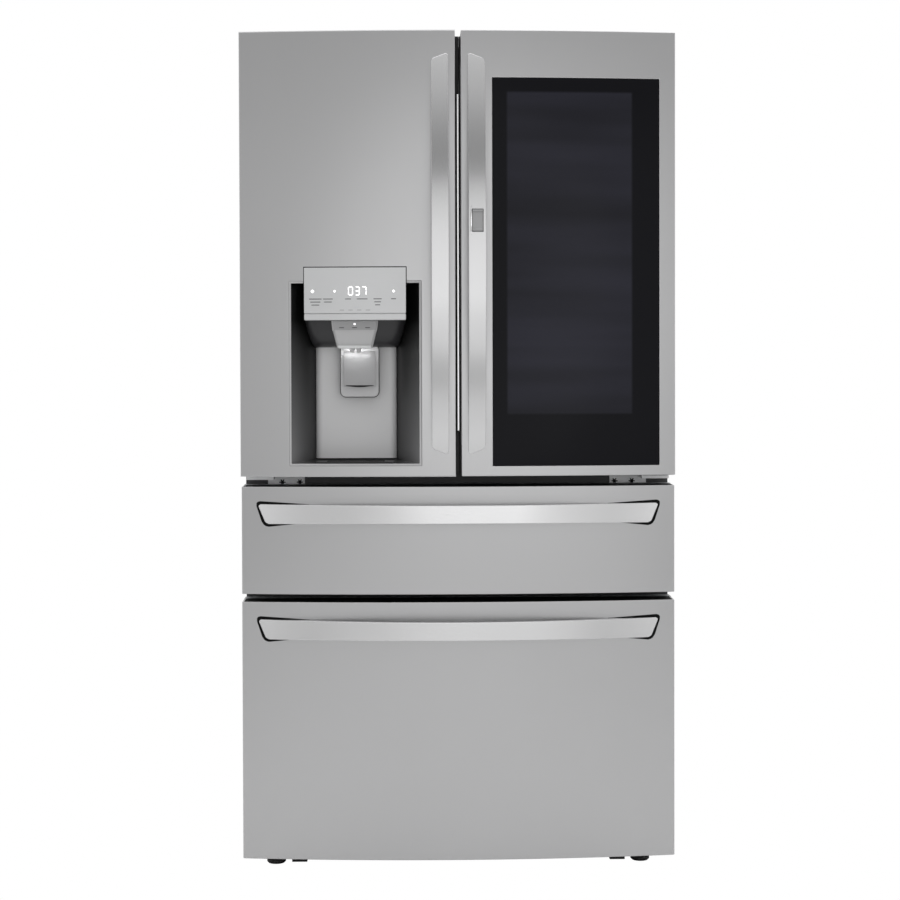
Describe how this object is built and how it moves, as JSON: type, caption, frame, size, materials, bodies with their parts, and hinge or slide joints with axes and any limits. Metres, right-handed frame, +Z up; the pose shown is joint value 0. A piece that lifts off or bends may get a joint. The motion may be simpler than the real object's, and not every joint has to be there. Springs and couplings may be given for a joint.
{
  "type": "french door refrigerator",
  "caption": "Tall stainless refrigerator with two upper doors, a dispenser, a door-in-door glass panel, a slim drawer and a freezer drawer.",
  "frame": {"origin": "on the floor under the middle of the whole box", "axes": "+Z up, the doors face -Y, +X to the viewer's right as the doors are faced"},
  "size_m": [0.908, 0.92, 1.768],
  "materials": {
    "stainless": "brushed vertical grain",
    "handle_steel": "brushed along the bar",
    "cabinet_paint": "textured dark grey enamel",
    "galvanised": "galvanised sheet",
    "foam": "foamed core",
    "white_liner": "moulded white liner",
    "dark_plastic": "black moulded plastic",
    "grey_plastic": "silver grey moulded plastic",
    "panel_plastic": "silver control panel",
    "clear_plastic": "clear crisper plastic",
    "shelf_glass": "tempered glass",
    "dark_glass": "dark mirrored glass",
    "gasket_rubber": "soft grey seal",
    "foot_rubber": "hard black foot",
    "zinc": "zinc plated steel",
    "black_steel": "black enamel",
    "fin_aluminium": "bare fins",
    "lens": "frosted light lens"
  },
  "bodies": {
    "cabinet": {"cabinet_shell": "cabinet_paint", "rear_panel": "galvanised", "cabinet_insulation": "foam", "compartment_dividers": "foam", "fridge_liner": "white_liner", "lower_liners": "white_liner", "glass_shelves": "shelf_glass", "air_duct": "white_liner", "fridge_light": "lens", "cabinet_rails": "zinc", "hinge_brackets": "zinc", "hinge_bolts": "zinc", "hinge_covers": "dark_plastic", "base_frame": "black_steel", "compressor": "black_steel", "condenser": "galvanised", "machine_cover": "galvanised", "evaporator_cover": "white_liner", "evaporator": "fin_aluminium"},
    "left_door": {"left_door_skin": "stainless", "left_door_core": "foam", "left_door_liner": "white_liner", "left_door_gasket": "gasket_rubber", "left_door_handle": "handle_steel", "left_door_bins": "clear_plastic", "ice_maker": "white_liner", "dispenser_housing": "dark_plastic", "dispenser_panel": "panel_plastic", "dispenser_chute": "grey_plastic"},
    "paddle": {"dispenser_paddle": "grey_plastic"},
    "flap": {"mullion_flap": "dark_plastic"},
    "right_door": {"right_door_frame": "grey_plastic", "right_door_gasket": "gasket_rubber", "right_door_bins": "clear_plastic"},
    "outer_door": {"outer_door_skin": "stainless", "outer_door_glass": "dark_glass", "outer_door_core": "dark_plastic", "outer_door_gasket": "gasket_rubber", "right_door_handle": "handle_steel"},
    "button": {"release_button": "grey_plastic"},
    "left_crisper": {"crisper_left": "clear_plastic"},
    "right_crisper": {"crisper_right": "clear_plastic"},
    "condenser_rotor": {"condenser_fan": "dark_plastic"},
    "evaporator_rotor": {"evaporator_fan": "dark_plastic"},
    "left_leg": {"left_levelling_leg": "foot_rubber"},
    "right_leg": {"right_levelling_leg": "foot_rubber"},
    "left_wheel": {"left_roller": "foot_rubber"},
    "right_wheel": {"right_roller": "foot_rubber"},
    "middle_drawer": {"middle_drawer_skin": "stainless", "middle_drawer_core": "grey_plastic", "middle_drawer_gasket": "gasket_rubber", "middle_drawer_handle": "handle_steel", "middle_drawer_bin": "clear_plastic", "middle_drawer_rails": "zinc"},
    "freezer_drawer": {"freezer_drawer_skin": "stainless", "freezer_drawer_core": "grey_plastic", "freezer_drawer_gasket": "gasket_rubber", "freezer_drawer_handle": "handle_steel", "freezer_drawer_bin": "clear_plastic", "freezer_drawer_rails": "zinc"}
  },
  "joints": [
    {"name": "left_door_swing", "type": "hinge", "parent": "cabinet", "child": "left_door", "pos_m": [-0.43, -0.325, 1.29], "axis": [0, 0, -1], "range_deg": [0, 110]},
    {"name": "right_door_swing", "type": "hinge", "parent": "cabinet", "child": "right_door", "pos_m": [0.43, -0.325, 1.29], "axis": [0, 0, 1], "range_deg": [0, 110]},
    {"name": "outer_door_swing", "type": "hinge", "parent": "right_door", "child": "outer_door", "pos_m": [0.443, -0.366, 1.29], "axis": [0, 0, 1], "range_deg": [0, 95]},
    {"name": "release_button_press", "type": "slide", "parent": "outer_door", "child": "button", "axis": [0, 1, 0], "range_m": [0, 0.003], "stiffness_N_per_m": 600, "springref_m": -0.002},
    {"name": "flap_fold", "type": "hinge", "parent": "left_door", "child": "flap", "pos_m": [-0.046, -0.277, 1.271], "axis": [0, 0, 1], "range_deg": [0, 88]},
    {"name": "paddle_press", "type": "hinge", "parent": "left_door", "child": "paddle", "pos_m": [-0.206, -0.352, 1.088], "axis": [1, 0, 0], "range_deg": [0, 8], "stiffness_Nm_per_rad": 1.5, "springref_deg": -5.73},
    {"name": "middle_drawer_slide", "type": "slide", "parent": "cabinet", "child": "middle_drawer", "axis": [0, -1, 0], "range_m": [0, 0.42]},
    {"name": "freezer_drawer_slide", "type": "slide", "parent": "cabinet", "child": "freezer_drawer", "axis": [0, -1, 0], "range_m": [0, 0.4]},
    {"name": "left_crisper_slide", "type": "slide", "parent": "cabinet", "child": "left_crisper", "axis": [0, -1, 0], "range_m": [0, 0.085]},
    {"name": "right_crisper_slide", "type": "slide", "parent": "cabinet", "child": "right_crisper", "axis": [0, -1, 0], "range_m": [0, 0.085]},
    {"name": "condenser_fan_spin", "type": "hinge", "parent": "cabinet", "child": "condenser_rotor", "pos_m": [0.007, 0.35, 0.15], "axis": [1, 0, 0], "continuous": true},
    {"name": "evaporator_fan_spin", "type": "hinge", "parent": "cabinet", "child": "evaporator_rotor", "pos_m": [0, 0.175, 0.47], "axis": [0, 1, 0], "continuous": true},
    {"name": "left_leg_turn", "type": "hinge", "parent": "cabinet", "child": "left_leg", "pos_m": [-0.388, -0.305, 0.02], "axis": [0, 0, 1], "continuous": true},
    {"name": "right_leg_turn", "type": "hinge", "parent": "cabinet", "child": "right_leg", "pos_m": [0.388, -0.305, 0.02], "axis": [0, 0, 1], "continuous": true},
    {"name": "left_roller_spin", "type": "hinge", "parent": "cabinet", "child": "left_wheel", "pos_m": [-0.415, 0.42, 0.02], "axis": [1, 0, 0], "continuous": true},
    {"name": "right_roller_spin", "type": "hinge", "parent": "cabinet", "child": "right_wheel", "pos_m": [0.415, 0.42, 0.02], "axis": [1, 0, 0], "continuous": true}
  ],
  "couplings": [
    {"joint": "flap_fold", "follows": "left_door_swing", "ratio": 0.78}
  ]
}
